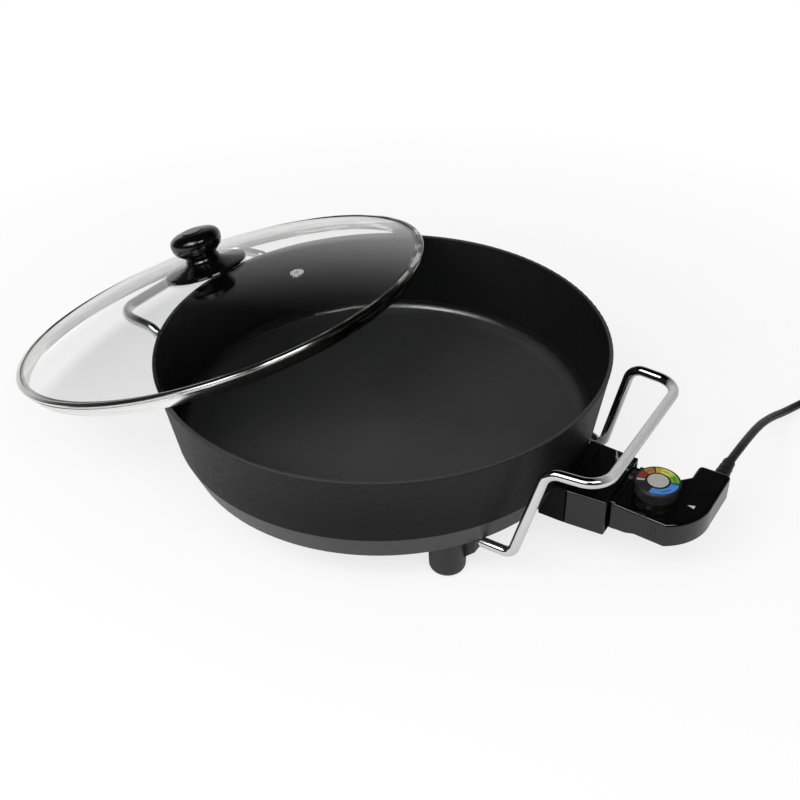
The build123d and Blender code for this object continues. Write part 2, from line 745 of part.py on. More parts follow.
def make_cord():
    # Out of the strain relief, down to the table and up beside the coil.
    entry = math.radians(coil_entry)
    end_radius = coil_radius + cord / 2 + gap
    route = [(cord_x, relief_end_y + 0.2, cord_z),
             (cord_x + 1.1, relief_end_y + 26.2, cord_z - 2.0),
             (cord_x + 1.2, relief_end_y + 51.0, cord_z - 7.4),
             (cord_x + 1.4, relief_end_y + 76.3, cord_z - 13.8),
             (cord_x + 2.0, relief_end_y + 101.5, cord_z - 22.0),
             (cord_x + 4.6, relief_end_y + 129.0, cord_z - 32.0),
             (cord_x + 8.4, relief_end_y + 152.0, cord_z - 40.8),
             (cord_x + 13.7, relief_end_y + 175.0, table_cord_z + 1.4),
             (cord_x + 22.7, relief_end_y + 198.0, table_cord_z),
             (coil_x - 57.0, coil_y + 14.0, table_cord_z),
             (coil_x + end_radius * math.cos(entry), coil_y + end_radius * math.sin(entry), table_cord_z)]
    return cord_tube("power_cord", route)


def make_cord_tail():
    """Short free end between the coil and the plug beside it."""
    leave = math.radians(coil_exit)
    end_radius = coil_radius + cord / 2 + gap
    route = [(coil_x + end_radius * math.cos(leave), coil_y + end_radius * math.sin(leave), table_cord_z),
             (coil_x + 37.0, coil_y - 50.0, table_cord_z + 0.3),
             (coil_x + 33.0, coil_y - 80.0, table_cord_z + 1.0),
             (coil_x + 45.0, coil_y - 112.0, table_cord_z + 6.0),
             (coil_x + 68.0, plug_y, plug_z),
             (plug_x, plug_y, plug_z)]
    return cord_tube("power_cord_tail", route)


def make_coil():
    """Outer shape of the tied turns."""
    inner = coil_radius - coil_rows * cord
    top = table_z + coil_layers * cord
    coil = drum(coil_radius, table_z, top) - drum(inner, table_z - 1, top + 1)
    rims = coil.edges().filter_by(GeomType.CIRCLE)
    return Pos(coil_x, coil_y, 0) * fillet(rims, cord / 2 - 0.3)


def make_cord_tie():
    """Strap over one side of the coil."""
    strap_half = 5.0
    inner = coil_radius - coil_rows * cord
    # The ring bows across the strap's width, so the inside is a little wider than the rows.
    bow = inner - math.sqrt(inner ** 2 - strap_half ** 2)
    low_x = inner - bow - gap
    high_x = coil_radius + gap
    top = table_z + coil_layers * cord + gap
    outside = block(low_x - coil_tie, high_x + coil_tie, -strap_half, strap_half, table_z, top + coil_tie)
    inside = block(low_x, high_x, -strap_half - 1, strap_half + 1, table_z - 1, top)
    return Pos(coil_x, coil_y, 0) * (outside - inside)


def plug_place():
    """Plug lying on its side past the cord's tail."""
    return Pos(plug_x, plug_y, plug_z) * Rot(0, 90, 0)


def make_plug():
    face = plug_boot + plug_length
    profile = [(0, 0), (cord / 2 + 1.5, 0), (cord / 2 + 3.0, plug_boot), (plug_radius - 4.0, plug_boot + 5.0),
               (plug_radius, plug_boot + 14.0), (plug_radius, face), (0, face)]
    body = turned(profile)
    for side in (-1, 1):
        body -= drum(plug_pin / 2 + press, face - 8.0, face + 1, 0, side * plug_pin_spread / 2)
    return plug_place() * body


def make_plug_pins():
    face = plug_boot + plug_length
    pins = []
    for side in (-1, 1):
        pin = drum(plug_pin / 2, face - 7.9, face + 19.0, 0, side * plug_pin_spread / 2)
        pins.append(plug_place() * fillet(pin.edges().group_by(Axis.Z)[-1], 1.6))
    return group(pins)


# ---------------------------------------------------------------- lid

def dome_radius():
    """Radius of the sphere that the glass's outside lies on."""
    return (glass_seat_radius ** 2 + glass_rise ** 2) / (2 * glass_rise)


def dome_z(radius, inset=0.0):
    """Height of the glass's outside, or of a surface inset below it, in the lid's frame."""
    sphere = dome_radius()
    return math.sqrt((sphere - inset) ** 2 - radius ** 2) - (sphere - glass_rise)


def dome_ball(inset):
    sphere = dome_radius()
    return Pos(0, 0, glass_rise - sphere) * Sphere(sphere - inset)


def skirt_outer_radius():
    return rim_inner_radius - skirt_clearance


def vent_frame():
    """Place on the dome's outside, square to it, where the vent goes through."""
    slope = math.degrees(math.asin(vent_offset / dome_radius()))
    return Pos(vent_offset, 0, dome_z(vent_offset)) * Rot(0, slope, 0)


def make_glass():
    edge = lid_radius - glass_edge_inset
    shell = dome_ball(0) - dome_ball(glass_thickness)
    glass = shell & drum(edge, -30.0, glass_rise + 10.0)
    glass -= knob_frame() * drum(knob_screw / 2 + 1.0, 0, glass_rise + 10.0)
    glass -= vent_frame() * drum(vent_hole / 2, -glass_thickness - 5.0, 5.0)
    return glass


def make_band():
    """Rolled steel band: lips over and under the glass edge, bead and skirt."""
    r = lid_radius
    lip = r - band_lip
    shoulder = skirt_outer_radius()
    low = shoulder - skirt_taper
    profile = [(lip, dome_z(lip) - 0.5), (lip, dome_z(lip) + 0.7), (lip + 0.8, dome_z(lip + 0.8) + 1.0),
               (r - 1.6, -0.9), (r - 0.4, -1.5), (r, -2.4), (r - 0.4, -3.3), (r - 1.3, -4.0), (r - 2.5, -4.5),
               (r - 1.7, -5.4), (r - 2.0, -6.5), (r - 3.0, -7.2), (shoulder, -7.7), (low, -skirt_depth),
               (low - skirt_thickness, -skirt_depth), (shoulder - skirt_thickness, -8.0),
               (r - band_seat, dome_z(r - band_seat, glass_thickness) - 1.0),
               (r - band_seat, dome_z(r - band_seat, glass_thickness) + 0.5)]
    glass_room = dome_ball(0) - dome_ball(glass_thickness)
    glass_room = glass_room & drum(r - glass_edge_inset, -30.0, glass_rise)
    return turned(profile) - glass_room


def make_vent():
    """Steel eyelet rolled through the glass."""
    top_flange = drum(vent_hole / 2 + 3.2, 0.1, 1.0)
    low_flange = drum(vent_hole / 2 + 1.8, -glass_thickness - 1.0, -glass_thickness - 0.1)
    barrel = drum(vent_hole / 2 - press, -glass_thickness - 1.0, 1.0)
    bore = drum(vent_hole / 2 - 0.9, -glass_thickness - 2.0, 2.0)
    return vent_frame() * (barrel + top_flange + low_flange - bore)


def knob_frame():
    """Turn about the dome's centre that moves the knob off the middle."""
    centre = glass_rise - dome_radius()
    return Pos(0, 0, centre) * Rot(0, -math.degrees(knob_offset / dome_radius()), 0) * Pos(0, 0, -centre)


def make_knob_base():
    """Flared disc under the knob."""
    z = glass_rise
    r = knob_base_radius
    profile = [(0, z - 2.0), (r - 0.6, z - 2.0), (r, z - 0.2), (r - 0.5, z + 1.2), (r - 4.0, z + 2.2),
               (r - 12.0, z + 3.8), (knob_neck_radius + 6.0, z + 5.4), (knob_neck_radius + 2.6, z + 6.8),
               (knob_neck_radius + 1.4, z + knob_base_height), (0, z + knob_base_height)]
    base = turned(profile) - dome_ball(-0.05)
    return base - drum(knob_screw / 2 + screw_clearance, 0, z + 20.0)


def make_knob():
    """Mushroom grip with a collar at the foot of its neck."""
    low = glass_rise + knob_base_height
    top = glass_rise + knob_height
    neck = knob_neck_radius
    r = knob_radius
    profile = [(0, low), (neck + 1.0, low), (neck + 1.6, low + 1.2), (neck + 0.9, low + 2.6),
               (neck, low + 3.4), (neck + 0.4, low + 5.2), (neck + 2.4, low + 7.0)]
    outline = Polyline(*profile, (r - 2.2, low + 10.8))
    cap = [(r - 2.2, low + 10.8), (r - 0.2, low + 15.4), (r - 0.3, top - 6.4), (r - 4.6, top - 2.4),
           (r - 13.0, top - 0.5), (0, top)]
    outline += Spline(*cap, tangents=((0.55, 0.84), (-1, 0)))
    outline += Line((0, top), (0, low))
    knob = revolve(make_face(Plane.XZ * outline), Axis.Z, 360)
    return knob - drum(knob_screw / 2, low - 1, low + 14.0)


def make_knob_screw():
    under = glass_rise - glass_thickness
    shank = drum(knob_screw / 2, under - 1.6, glass_rise + knob_base_height + 13.0)
    head = drum(knob_screw / 2 + 2.2, under - 4.6, under - 1.6)
    slot = block(-8.0, 8.0, -0.6, 0.6, under - 5.0, under - 3.6)
    return shank + head - slot


def make_knob_washer():
    under = glass_rise - glass_thickness
    washer = drum(9.0, under - 1.6, under + 1.0) - dome_washer_room()
    return washer - drum(knob_screw / 2 + screw_clearance, under - 3.0, under + 2.0)


def dome_washer_room():
    """Everything above the glass's underside."""
    return drum(20.0, 0, glass_rise + 5.0) - dome_ball(glass_thickness + 0.05)


def lean_frame(height):
    return Pos(lean_x, lean_y, height) * Rot(0, -lean_angle, 0) * Rot(side_roll, 0, 0)


def parked_height():
    """Lowest height at which the tilted lid clears the rim and the handle's grip."""
    frame = lean_frame(0)
    sphere_centre = (frame * Pos(0, 0, glass_rise - dome_radius())).position
    reach = dome_radius() - glass_thickness - rod_radius - gap
    straight = grip_half_width - 0.6 * grip_bend
    lift = -1000.0
    steps = 40
    for step in range(steps + 1):
        share = step / steps
        y = straight * (2 * share - 1)
        flat = (-grip_x - sphere_centre.X) ** 2 + (y - sphere_centre.Y) ** 2
        lift = max(lift, grip_z - sphere_centre.Z - math.sqrt(reach ** 2 - flat))
    low_radius = skirt_outer_radius() - skirt_taper
    turns = 1440
    for step in range(turns):
        angle = 2 * math.pi * step / turns
        edge = Pos(low_radius * math.cos(angle), low_radius * math.sin(angle), -skirt_depth)
        point = (frame * edge).position
        if rim_inner_radius - gap < math.hypot(point.X, point.Y) < rim_radius + gap:
            lift = max(lift, rim_z + gap - point.Z)
    return lift


# ---------------------------------------------------------------- assembly

def add(node, shape):
    parts[node] = shape


def add_root():
    add("pan_bowl", make_pan())
    add("heating_element", heater_body(heater_tube, heater_end_x))
    add("terminal_pins", make_terminals())
    add("terminal_plate", make_terminal_plate())
    add("earth_contact", make_earth_contact())
    add("guard_bracket", make_bracket())
    add("bracket_screws", make_bracket_screws())
    add("socket_guard", make_guard())
    names = {(1, -1): "foot_right_front", (1, 1): "foot_right_back",
             (-1, -1): "foot_left_front", (-1, 1): "foot_left_back"}
    for x, y in foot_places():
        add(names[(int(math.copysign(1, x)), int(math.copysign(1, y)))], make_foot(x, y))
    add("foot_screws", make_foot_screws())
    add("handle_right", make_handle(0.0))
    add("handle_left", Rot(0, 0, 180) * make_handle(left_tuck))


def add_lid():
    frame = lean_frame(parked_height())
    pieces = {"lid_glass": make_glass(), "lid_band": make_band(), "lid_vent": make_vent(),
              "lid_knob_base": make_knob_base(), "lid_knob": make_knob(),
              "lid_knob_screw": make_knob_screw(), "lid_knob_washer": make_knob_washer()}
    for node, shape in pieces.items():
        place = frame * knob_frame() if "knob" in node else frame
        add(node, place * shape)


def add_control():
    add("control_upper_housing", make_upper_housing())
    add("control_bottom_cover", make_lower_housing())
    add("control_screws", make_cover_screws())
    add("temperature_probe", make_probe())
    add("contact_sleeves", make_contacts())
    add("contact_carrier", make_contact_carrier())
    add("thermostat_switch", make_thermostat())
    add("dial_spindle", make_spindle())
    add("dial_knob", make_dial())
    add("dial_scale_ring", make_dial_scale())
    add("dial_centre_cap", make_dial_cap())
    add("cord_clamp", make_cord_clamp())
    add("strain_relief", make_strain_relief())
    add("cord_entry", make_cord_entry())
    add("power_cord", make_cord())
    add("cord_coil", make_coil())
    add("cord_tie", make_cord_tie())
    add("power_cord_tail", make_cord_tail())
    add("plug_body", make_plug())
    add("plug_pins", make_plug_pins())


add_root()
add_lid()
add_control()

os.makedirs("parts", exist_ok=True)
for node, shape in parts.items():
    export_step(shape, os.path.join("parts", node + ".step"))
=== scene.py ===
import math

import bmesh
import bpy
from mathutils import Matrix, Vector


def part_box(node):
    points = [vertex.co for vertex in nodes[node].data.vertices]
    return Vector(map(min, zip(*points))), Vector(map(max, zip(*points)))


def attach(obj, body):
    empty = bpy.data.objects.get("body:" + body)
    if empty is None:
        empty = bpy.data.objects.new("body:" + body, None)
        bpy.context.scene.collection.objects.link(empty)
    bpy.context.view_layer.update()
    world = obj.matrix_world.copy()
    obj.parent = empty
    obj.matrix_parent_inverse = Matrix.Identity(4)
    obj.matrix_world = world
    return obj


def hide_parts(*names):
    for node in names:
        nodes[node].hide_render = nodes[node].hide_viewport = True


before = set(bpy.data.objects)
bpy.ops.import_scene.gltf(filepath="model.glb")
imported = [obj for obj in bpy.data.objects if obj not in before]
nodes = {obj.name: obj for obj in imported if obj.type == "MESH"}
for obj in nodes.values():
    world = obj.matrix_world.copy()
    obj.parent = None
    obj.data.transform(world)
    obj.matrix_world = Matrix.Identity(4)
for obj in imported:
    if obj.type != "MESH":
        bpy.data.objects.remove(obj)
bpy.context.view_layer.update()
scene = bpy.context.scene


# ---------------------------------------------------------------- places, in metres

TABLE_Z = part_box("foot_right_front")[0].z
DIAL_CENTRE = (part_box("dial_knob")[0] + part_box("dial_knob")[1]) / 2
CORD_DIAMETER = 0.0076
CORD_TABLE_Z = TABLE_Z + CORD_DIAMETER / 2
COIL_CENTRE = (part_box("cord_coil")[0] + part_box("cord_coil")[1]) / 2
MILLIMETRES = 1000              # in a metre


# ---------------------------------------------------------------- camera

CAMERA_PLACE = Vector((0.4471, -0.6541, 0.5792))
CAMERA_AZIMUTH = math.radians(33.39)
CAMERA_DOWN = 0.6201            # radians below the horizon
CAMERA_ROLL = -0.0266           # radians
FOCAL_PIXELS = 1061.2           # for an image 800 pixels wide
IMAGE_PIXELS = 800.0
SENSOR = 36.0


def make_camera():
    """Camera at the photograph's place, from its azimuth, elevation and roll."""
    turn = Matrix.Rotation(CAMERA_AZIMUTH, 3, "Z")
    level_right = turn @ Vector((1, 0, 0))
    forward = turn @ Vector((0, math.cos(CAMERA_DOWN), -math.sin(CAMERA_DOWN)))
    level_up = turn @ Vector((0, math.sin(CAMERA_DOWN), math.cos(CAMERA_DOWN)))
    right = math.cos(CAMERA_ROLL) * level_right + math.sin(CAMERA_ROLL) * level_up
    up = math.cos(CAMERA_ROLL) * level_up - math.sin(CAMERA_ROLL) * level_right
    data = bpy.data.cameras.new("camera")
    data.sensor_fit = "HORIZONTAL"
    data.sensor_width = SENSOR
    data.lens = SENSOR * FOCAL_PIXELS / IMAGE_PIXELS
    camera = bpy.data.objects.new("camera", data)
    scene.collection.objects.link(camera)
    basis = Matrix((right, up, -forward)).transposed()
    camera.matrix_world = Matrix.Translation(CAMERA_PLACE) @ basis.to_4x4()
    scene.camera = camera


# ---------------------------------------------------------------- mains cord

CORD_ROUTE = (                  # out of the strain relief, down to the table and up to the coil
    (0.2948, 0.0842, 0.00575), (0.2959, 0.1102, 0.00375), (0.2960, 0.1350, -0.00165),
    (0.2962, 0.1603, -0.00805), (0.2968, 0.1855, -0.01625), (0.2994, 0.2130, -0.02625),
    (0.3032, 0.2360, -0.03505), (0.3085, 0.2590, -0.0408), (0.3175, 0.2820, -0.0422), (0.3338, 0.3060, -0.0422))
COIL_STATIONS = (               # degrees, and millimetres out from the coil's middle and up from the table turn
    (138, 54.7, 0.0), (114, 49.2, 0.0), (98, 46.6, 0.0), (-222, 46.6, 0.0),
    (-282, 39.2, 0.0), (-582, 39.2, 0.0), (-612, 37.2, 5.8), (-642, 39.2, 7.6),
    (-942, 39.2, 7.6), (-972, 45.0, 8.2), (-1002, 46.6, 7.7), (-1090, 46.6, 7.7),
    (-1105, 49.1, 7.5), (-1112, 51.2, 6.4), (-1118, 53.6, 3.8), (-1125, 57.4, 1.2))
COIL_STEP = 15.0                # degrees between the coil's points
CORD_TAIL = (                   # from the coil's middle, in millimetres: out of the coil to the plug
    (38.0, -54.0, 0.2), (33.0, -80.0, 1.0), (45.0, -112.0, 6.0), (68.0, -126.6, 14.9), (96.0, -126.6, 14.9))


def coil_points():
    """Turns of the tied coil: two lower ones inwards, then two upper ones outwards."""
    cut_in = math.cos(math.radians(COIL_STEP / 2))      # the spline rounds the turns this much inside its points
    first, last = COIL_STATIONS[0][0], COIL_STATIONS[-1][0]
    steps = round((first - last) / COIL_STEP)
    points = []
    for step in range(steps + 1):
        angle = first - step * (first - last) / steps
        for (high, out_a, up_a), (low, out_b, up_b) in zip(COIL_STATIONS, COIL_STATIONS[1:]):
            if high >= angle >= low:
                share = (high - angle) / (high - low)
                out = (out_a + share * (out_b - out_a)) / cut_in / MILLIMETRES
                up = (up_a + share * (up_b - up_a)) / MILLIMETRES
        turn = math.radians(angle)
        points.append((COIL_CENTRE.x + out * math.cos(turn), COIL_CENTRE.y + out * math.sin(turn),
                       CORD_TABLE_Z + up))
    return points


def make_cord():
    tail = [(COIL_CENTRE.x + x / MILLIMETRES, COIL_CENTRE.y + y / MILLIMETRES, CORD_TABLE_Z + z / MILLIMETRES)
            for x, y, z in CORD_TAIL]
    points = list(CORD_ROUTE) + coil_points() + tail
    curve = bpy.data.curves.new("mains_cord", "CURVE")
    curve.dimensions = "3D"
    spline = curve.splines.new("NURBS")
    spline.points.add(len(points) - 1)
    for place, point in zip(points, spline.points):
        point.co = (*place, 1.0)
    spline.order_u = 3
    spline.use_endpoint_u = True
    spline.resolution_u = 8
    curve.bevel_depth = CORD_DIAMETER / 2
    curve.bevel_resolution = 5
    curve.use_fill_caps = True
    cord = bpy.data.objects.new("mains_cord", curve)
    scene.collection.objects.link(cord)
    curve.materials.append(rubber())
    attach(cord, "control")
    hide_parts("power_cord", "cord_coil", "power_cord_tail")


# ---------------------------------------------------------------- node helpers

CLOUD_LOW, CLOUD_HIGH = 0.3, 0.7        # the noise texture stays mostly between these


class Graph:
    """Short calls for the nodes of a tree."""

    def __init__(self, tree):
        self.tree = tree

    def node(self, kind, **values):
        made = self.tree.nodes.new(kind)
        for name, value in values.items():
            setattr(made, name, value)
        return made

    def link(self, source, target):
        self.tree.links.new(source, target)

    def ramp(self, source, stops, interpolation="LINEAR"):
        made = self.node("ShaderNodeValToRGB")
        band = made.color_ramp
        band.interpolation = interpolation
        while len(band.elements) < len(stops):
            band.elements.new(0.5)
        for element, (place, colour) in zip(band.elements, stops):
            element.position = place
            element.color = (*colour, 1.0)
        self.link(source, made.inputs["Fac"])
        return made.outputs["Color"]

    def span(self, source, low, high, out_low=0.0, out_high=1.0):
        made = self.node("ShaderNodeMapRange")
        for socket, value in zip(("From Min", "From Max", "To Min", "To Max"), (low, high, out_low, out_high)):
            made.inputs[socket].default_value = value
        self.link(source, made.inputs["Value"])
        return made.outputs["Result"]

    def math(self, operation, *terms):
        made = self.node("ShaderNodeMath", operation=operation)
        for index, term in enumerate(terms):
            if isinstance(term, (int, float)):
                made.inputs[index].default_value = term
            else:
                self.link(term, made.inputs[index])
        return made.outputs["Value"]

    def times(self, first, *others):
        for other in others:
            first = self.math("MULTIPLY", first, other)
        return first

    def rest(self, share):
        """What a share leaves of one."""
        return self.math("SUBTRACT", 1.0, share)

    def mix(self, factor, first, second):
        made = self.node("ShaderNodeMix", data_type="RGBA")
        factor_in, first_in, second_in = made.inputs[0], made.inputs[6], made.inputs[7]     # the colour sockets
        for socket, term in ((factor_in, factor), (first_in, first), (second_in, second)):
            if isinstance(term, (tuple, float)):
                socket.default_value = (*term, 1.0) if isinstance(term, tuple) else term
            else:
                self.link(term, socket)
        return made.outputs[2]


class Shader(Graph):
    """A material with a Principled shader, patterned in the part's own coordinates."""

    def __init__(self, name):
        self.material = bpy.data.materials.new(name)
        self.material.use_nodes = True
        super().__init__(self.material.node_tree)
        self.principled = self.tree.nodes["Principled BSDF"]
        self.coordinates = self.node("ShaderNodeTexCoord").outputs["Object"]

    def set(self, **values):
        for socket, value in values.items():
            self.principled.inputs[socket.replace("_", " ")].default_value = value

    def feed(self, source, socket):
        self.link(source, self.principled.inputs[socket])

    def noise(self, scale, detail=3.0, rough=0.5, stretch=None):
        made = self.node("ShaderNodeTexNoise")
        made.inputs["Scale"].default_value = scale
        made.inputs["Detail"].default_value = detail
        made.inputs["Roughness"].default_value = rough
        source = self.coordinates
        if stretch:
            mapping = self.node("ShaderNodeMapping")
            mapping.inputs["Scale"].default_value = stretch
            self.link(source, mapping.inputs["Vector"])
            source = mapping.outputs["Vector"]
        self.link(source, made.inputs["Vector"])
        return made.outputs["Fac"]

    def mottle(self, dark, light, *noise):
        """A colour that drifts between two, as the noise does."""
        return self.ramp(self.noise(*noise), [(CLOUD_LOW, dark), (CLOUD_HIGH, light)])

    def uneven(self, low, high, *noise, start=CLOUD_LOW):
        """A number that drifts between two, as the noise does."""
        return self.span(self.noise(*noise), start, CLOUD_HIGH, low, high)

    def bump(self, height, distance, strength=1.0, normal=None):
        made = self.node("ShaderNodeBump")
        made.inputs["Strength"].default_value = strength
        made.inputs["Distance"].default_value = distance
        self.link(height, made.inputs["Height"])
        if normal:
            self.link(normal, made.inputs["Normal"])
        return made.outputs["Normal"]

    def axes(self):
        made = self.node("ShaderNodeSeparateXYZ")
        self.link(self.coordinates, made.inputs["Vector"])
        return made.outputs["X"], made.outputs["Y"], made.outputs["Z"]

    def radius(self, centre_x=0.0, centre_y=0.0):
        x, y, _ = self.axes()
        across = self.math("SUBTRACT", x, centre_x)
        along = self.math("SUBTRACT", y, centre_y)
        return self.math("SQRT", self.math("ADD", self.times(across, across), self.times(along, along)))

    def cone(self, height, flare, at_zero):
        """Radius of a cone at a height."""
        return self.math("ADD", self.times(height, flare), at_zero)


# ---------------------------------------------------------------- materials: pan and lid

# The pan's heights are from its cooking surface, its radii from its axis.
RIM_Z = 0.082
LIP_HIGHLIGHT_TONE = (0.040, 0.040, 0.041)        # painted highlight on the rim's top
LIP_START, LIP_FULL = 0.0012, 0.0003    # below the rim's top
CREASE_Z = 0.016                        # top of the machined lower band
CREASE_BLUR = 0.0006
BAND_RADIUS = (0.1795, 0.1805)          # the band is outside these
INSIDE_RADIUS, INSIDE_FLARE = 0.1825, 0.31      # low down, what is within this cone is cooking surface
OUTER_RADIUS, OUTER_FLARE = 0.1859, 0.1515      # above the crease, what is beyond this cone is the outer wall
FLOOR_EDGE = (0.0080, 0.0004)           # from the wall's tone to the floor's, which is painted lighter as if lit from above
RING_START, RING_END = (0.0038, 0.0052), (0.0130, 0.0110)   # the smoother round between floor and wall
RING_ROUGHNESS = 0.24
PLAIN_GLOSS, RING_GLOSS = 0.22, 1.0     # specular levels
DULL_HEIGHTS, DULL_GLOSS = (0.078, 0.035), (0.06, 0.13)     # down the outer wall, and the gloss lost there
GROOVE_PITCH = 0.0011                   # the band's turning marks
FLECK_TONE = (0.045, 0.045, 0.047)
FLECK_NOISE = (0.66, 0.74)              # only the noise's peaks are flecks
BAND_SMOOTHER = 0.10                    # roughness that the band loses


def coating():
    """Non-stick coating with a fine fleck: smooth in the round at the floor's edge, the floor painted lighter as if
    lit from above, a painted highlight on the rim's top, paler on the machined band, and duller down the outer wall."""
    s = Shader("pan_coating")
    _, _, z = s.axes()
    radius = s.radius()
    inside = s.math("LESS_THAN", radius, s.cone(z, INSIDE_FLARE, INSIDE_RADIUS))
    band = s.times(s.span(z, CREASE_Z + CREASE_BLUR, CREASE_Z - CREASE_BLUR), s.span(radius, *BAND_RADIUS),
                   s.rest(inside))
    outer_wall = s.math("GREATER_THAN", radius, s.cone(z, OUTER_FLARE, OUTER_RADIUS))
    outer_wall = s.times(outer_wall, s.span(z, CREASE_Z - CREASE_BLUR, CREASE_Z + CREASE_BLUR))
    ring = s.times(inside, s.times(s.span(z, *RING_START), s.span(z, *RING_END)))
    plain = s.rest(ring)
    grooves = s.math("SINE", s.times(z, 2 * math.pi / GROOVE_PITCH))

    wall_tone = s.mottle((0.0050, 0.0050, 0.0052), (0.0075, 0.0075, 0.0077), 9, 3.0)
    # painted light: the floor gets a paler tone than the walls of the same coating, standing in for light from above
    floor_painted_light_tone = s.mottle((0.034, 0.034, 0.0345), (0.046, 0.046, 0.0465), 7, 3.0)
    tone = s.mix(s.times(inside, s.span(z, *FLOOR_EDGE)), wall_tone, floor_painted_light_tone)
    # painted highlight: the rim's top is made paler, as if catching the light
    tone = s.mix(s.span(z, RIM_Z - LIP_START, RIM_Z - LIP_FULL), tone, LIP_HIGHLIGHT_TONE)
    tone = s.mix(s.span(s.noise(2600, 1.0), *FLECK_NOISE), tone, FLECK_TONE)
    turned = s.mix(s.span(grooves, -1.0, 1.0), (0.026, 0.026, 0.027), (0.036, 0.036, 0.037))
    s.feed(s.mix(band, tone, turned), "Base Color")

    rough = s.math("SUBTRACT", s.uneven(0.40, 0.50, 240, 3.0), s.times(band, BAND_SMOOTHER))
    s.feed(s.math("ADD", s.times(rough, plain), s.times(ring, RING_ROUGHNESS)), "Roughness")
    duller = s.times(outer_wall, s.span(z, *DULL_HEIGHTS, *DULL_GLOSS))
    s.feed(s.math("SUBTRACT", s.span(ring, 0.0, 1.0, PLAIN_GLOSS, RING_GLOSS), duller), "Specular IOR Level")
    fine = s.bump(s.times(s.noise(1500, 2.0), plain), 0.00025, 0.10)
    s.feed(s.bump(s.times(grooves, band), 0.00005, 0.3, fine), "Normal")
    return s.material


GRIP_START_X, GRIP_FULL_X = 0.2335, 0.2365      # the right rod's cross run, beyond this, is satin
GRIP_END_Y, GRIP_FULL_Y = 0.078, 0.066


def chrome(name="chrome_plate", satin_grip=False):
    """Bright plating; a handle's cross run is ground satin where the fingers hold it."""
    s = Shader(name)
    plate = s.mottle((0.60, 0.60, 0.605), (0.68, 0.68, 0.685), 30, 3.0)
    rough = s.uneven(0.03, 0.08, 120, 4.0, start=0.35)
    wave = s.bump(s.noise(90, 2.0), 0.0004, 0.10)
    if satin_grip:
        x, y, _ = s.axes()
        satin = s.times(s.span(s.math("ABSOLUTE", x), GRIP_START_X, GRIP_FULL_X),
                        s.span(s.math("ABSOLUTE", y), GRIP_END_Y, GRIP_FULL_Y))
        lines = s.noise(700, 2.0, 0.5, (1, 6, 1))
        ground = s.ramp(lines, [(CLOUD_LOW, (0.62, 0.62, 0.62)), (CLOUD_HIGH, (0.78, 0.78, 0.78))])
        plate = s.mix(satin, plate, ground)
        rough = s.math("ADD", rough, s.times(satin, 0.30))
        wave = s.bump(s.times(lines, satin), 0.0001, 0.4, wave)
        s.feed(s.span(satin, 0.0, 1.0, 1.0, 0.35), "Metallic")
    else:
        s.set(Metallic=1.0)
    s.feed(plate, "Base Color")
    s.feed(rough, "Roughness")
    s.feed(wave, "Normal")
    return s.material


def drawn_marks(s):
    """Fine marks that run round a band or along a pin."""
    return s.bump(s.noise(400, 2.0, 0.5, (1, 1, 10)), 0.0002, 0.08)


def stainless(name, rough):
    s = Shader(name)
    s.set(Metallic=1.0)
    s.feed(s.mottle((0.56, 0.56, 0.545), (0.66, 0.66, 0.645), 60, 3.0), "Base Color")
    s.feed(s.uneven(rough, rough + 0.1, 200, 4.0, 0.6, (1, 1, 12)), "Roughness")
    s.feed(drawn_marks(s), "Normal")
    return s.material


LID_TILT = (math.radians(-0.7), math.radians(16.9), 0.0)
PAINTED_STREAK_Y = (-0.14, -0.06)             # the parked lid's near side keeps a plain steel tone, the rest carries painted reflection streaks


def band_steel():
    """Rolled steel band of the lid, with light and dark painted reflection streaks along it."""
    s = Shader("lid_band_steel")
    s.set(Metallic=1.0)
    _, along, _ = s.axes()
    level = s.node("ShaderNodeMapping")
    level.inputs["Rotation"].default_value = LID_TILT
    s.link(s.coordinates, level.inputs["Vector"])
    s.coordinates = level.outputs["Vector"]     # the streaks follow the leaning band
    streaks = s.noise(26, 3.0, 0.55, (1, 1, 14))
    # painted reflection: dark and light streaks stand in for what the band mirrors
    painted_reflection_streaks = s.ramp(streaks, [(0.44, (0.04, 0.04, 0.035)), (0.53, (0.20, 0.20, 0.185)), (0.62, (0.80, 0.80, 0.78))])
    plain_band_tone = s.ramp(streaks, [(CLOUD_LOW, (0.74, 0.74, 0.72)), (CLOUD_HIGH, (0.84, 0.84, 0.82))])
    s.feed(s.mix(s.span(along, *PAINTED_STREAK_Y), plain_band_tone, painted_reflection_streaks), "Base Color")
    s.feed(s.span(streaks, CLOUD_LOW, CLOUD_HIGH, 0.20, 0.13), "Roughness")
    s.feed(drawn_marks(s), "Normal")
    return s.material


def eyelet():
    s = Shader("vent_eyelet")
    s.set(Metallic=0.5)
    s.feed(s.mottle((0.62, 0.62, 0.60), (0.80, 0.80, 0.78), 300, 2.0), "Base Color")
    s.feed(s.uneven(0.22, 0.36, 400, 3.0), "Roughness")
    return s.material


def glass():
    s = Shader("lid_glass")
    s.set(Base_Color=(0.99, 0.995, 0.99, 1.0), Roughness=0.0, IOR=1.5, Transmission_Weight=1.0)
    s.feed(s.bump(s.noise(14, 1.0), 0.0006, 0.02), "Normal")
    return s.material


# ---------------------------------------------------------------- materials: control, cord and small pieces

def brass():
    s = Shader("contact_brass")
    s.set(Metallic=1.0)
    s.feed(s.mottle((0.55, 0.40, 0.16), (0.74, 0.58, 0.28), 80, 3.0), "Base Color")
    s.feed(s.uneven(0.2, 0.38, 200, 3.0), "Roughness")
    return s.material


def sheath():
    """Heater tube, blued by heat."""
    s = Shader("heater_sheath")
    s.set(Metallic=0.9)
    s.feed(s.mottle((0.16, 0.15, 0.145), (0.30, 0.28, 0.27), 45, 3.0), "Base Color")
    s.feed(s.uneven(0.35, 0.55, 160, 3.0), "Roughness")
    return s.material


